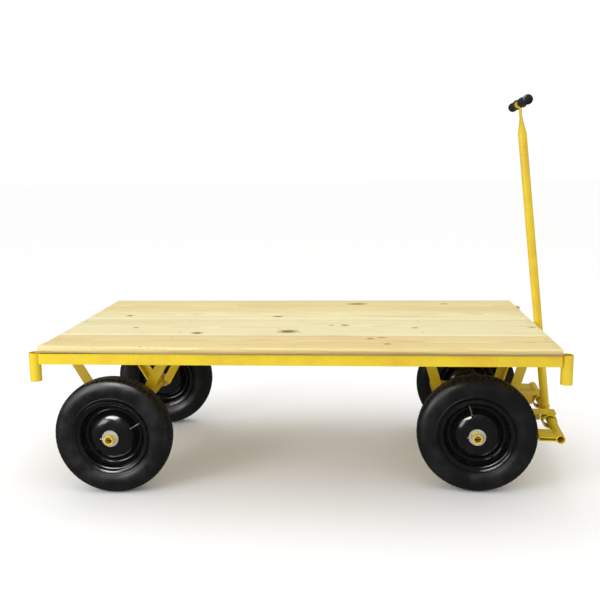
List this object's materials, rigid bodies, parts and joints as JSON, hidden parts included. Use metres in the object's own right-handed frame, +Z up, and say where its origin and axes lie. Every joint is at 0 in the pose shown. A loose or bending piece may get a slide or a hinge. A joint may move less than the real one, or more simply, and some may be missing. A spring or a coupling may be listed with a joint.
{
  "type": "turntable platform truck",
  "caption": "Board-decked platform truck on pneumatic wheels, steered by a turntable front axle whose T-handled drawbar parks upright and folds forward to pull.",
  "frame": {"origin": "on the ground, under the middle of the truck's bounding box", "axes": "+X towards the drawbar end along the deck, +Y to the truck's left, +Z up"},
  "size_m": [1.6162, 0.8, 1.1705],
  "materials": {
    "boards": "planed pine, unvarnished",
    "frame_paint": "yellow gloss enamel",
    "zinc": "zinc plated, dull",
    "tyre": "moulded rubber",
    "inner_tube": "matt",
    "wheel_paint": "black gloss enamel",
    "grip": "moulded, satin"
  },
  "bodies": {
    "chassis": {"deck_board_1": "boards", "deck_board_2": "boards", "deck_board_3": "boards", "deck_board_4": "boards", "deck_screws": "zinc", "side_rail_left": "frame_paint", "side_rail_right": "frame_paint", "end_rail_front": "frame_paint", "end_rail_rear": "frame_paint", "cross_bearer_rear": "frame_paint", "cross_bearer_middle": "frame_paint", "cross_bearer_front": "frame_paint", "stake_pocket_front_left": "frame_paint", "stake_pocket_front_right": "frame_paint", "stake_pocket_rear_left": "frame_paint", "stake_pocket_rear_right": "frame_paint", "front_strut_front_left": "frame_paint", "front_strut_front_right": "frame_paint", "front_strut_rear_left": "frame_paint", "front_strut_rear_right": "frame_paint", "rear_strut_front_left": "frame_paint", "rear_strut_front_right": "frame_paint", "rear_strut_rear_left": "frame_paint", "rear_strut_rear_right": "frame_paint", "rear_axle": "frame_paint", "rear_wheel_washers": "zinc", "rear_split_pins": "zinc", "upper_turntable_plate": "frame_paint", "king_bolt": "zinc", "king_nut_and_washers": "zinc"},
    "front_bogie": {"lower_turntable_plate": "frame_paint", "axle_saddle": "frame_paint", "front_axle": "frame_paint", "front_wheel_washers": "zinc", "front_split_pins": "zinc", "hinge_arms": "frame_paint", "hinge_bushes": "frame_paint"},
    "drawbar": {"cross_pipe": "frame_paint", "drawbar_tube": "frame_paint", "handle_bar": "frame_paint", "left_grip": "grip", "right_grip": "grip", "brake_shoes": "frame_paint"},
    "rear_left_wheel": {"rear_left_tyre": "tyre", "rear_left_inner_tube": "inner_tube", "rear_left_rim": "wheel_paint", "rear_left_hub": "wheel_paint"},
    "rear_right_wheel": {"rear_right_tyre": "tyre", "rear_right_inner_tube": "inner_tube", "rear_right_rim": "wheel_paint", "rear_right_hub": "wheel_paint"},
    "front_left_wheel": {"front_left_tyre": "tyre", "front_left_inner_tube": "inner_tube", "front_left_rim": "wheel_paint", "front_left_hub": "wheel_paint"},
    "front_right_wheel": {"front_right_tyre": "tyre", "front_right_inner_tube": "inner_tube", "front_right_rim": "wheel_paint", "front_right_hub": "wheel_paint"}
  },
  "joints": [
    {"name": "steering", "type": "hinge", "parent": "chassis", "child": "front_bogie", "pos_m": [0.53156, 0, 0.218], "axis": [0, 0, 1], "range_deg": [-1.9, 10.1]},
    {"name": "drawbar_fold", "type": "hinge", "parent": "front_bogie", "child": "drawbar", "pos_m": [0.77394, -0.01737, 0.169], "axis": [0.0715, 0.9974, 0], "range_deg": [0, 100]},
    {"name": "rear_left_roll", "type": "hinge", "parent": "chassis", "child": "rear_left_wheel", "pos_m": [-0.58044, 0.328, 0.178], "axis": [0, 1, 0], "continuous": true},
    {"name": "rear_right_roll", "type": "hinge", "parent": "chassis", "child": "rear_right_wheel", "pos_m": [-0.58044, -0.328, 0.178], "axis": [0, 1, 0], "continuous": true},
    {"name": "front_left_roll", "type": "hinge", "parent": "front_bogie", "child": "front_left_wheel", "pos_m": [0.55151, 0.27829, 0.178], "axis": [0.0715, 0.9974, 0], "continuous": true},
    {"name": "front_right_roll", "type": "hinge", "parent": "front_bogie", "child": "front_right_wheel", "pos_m": [0.51162, -0.27829, 0.178], "axis": [0.0715, 0.9974, 0], "continuous": true}
  ]
}
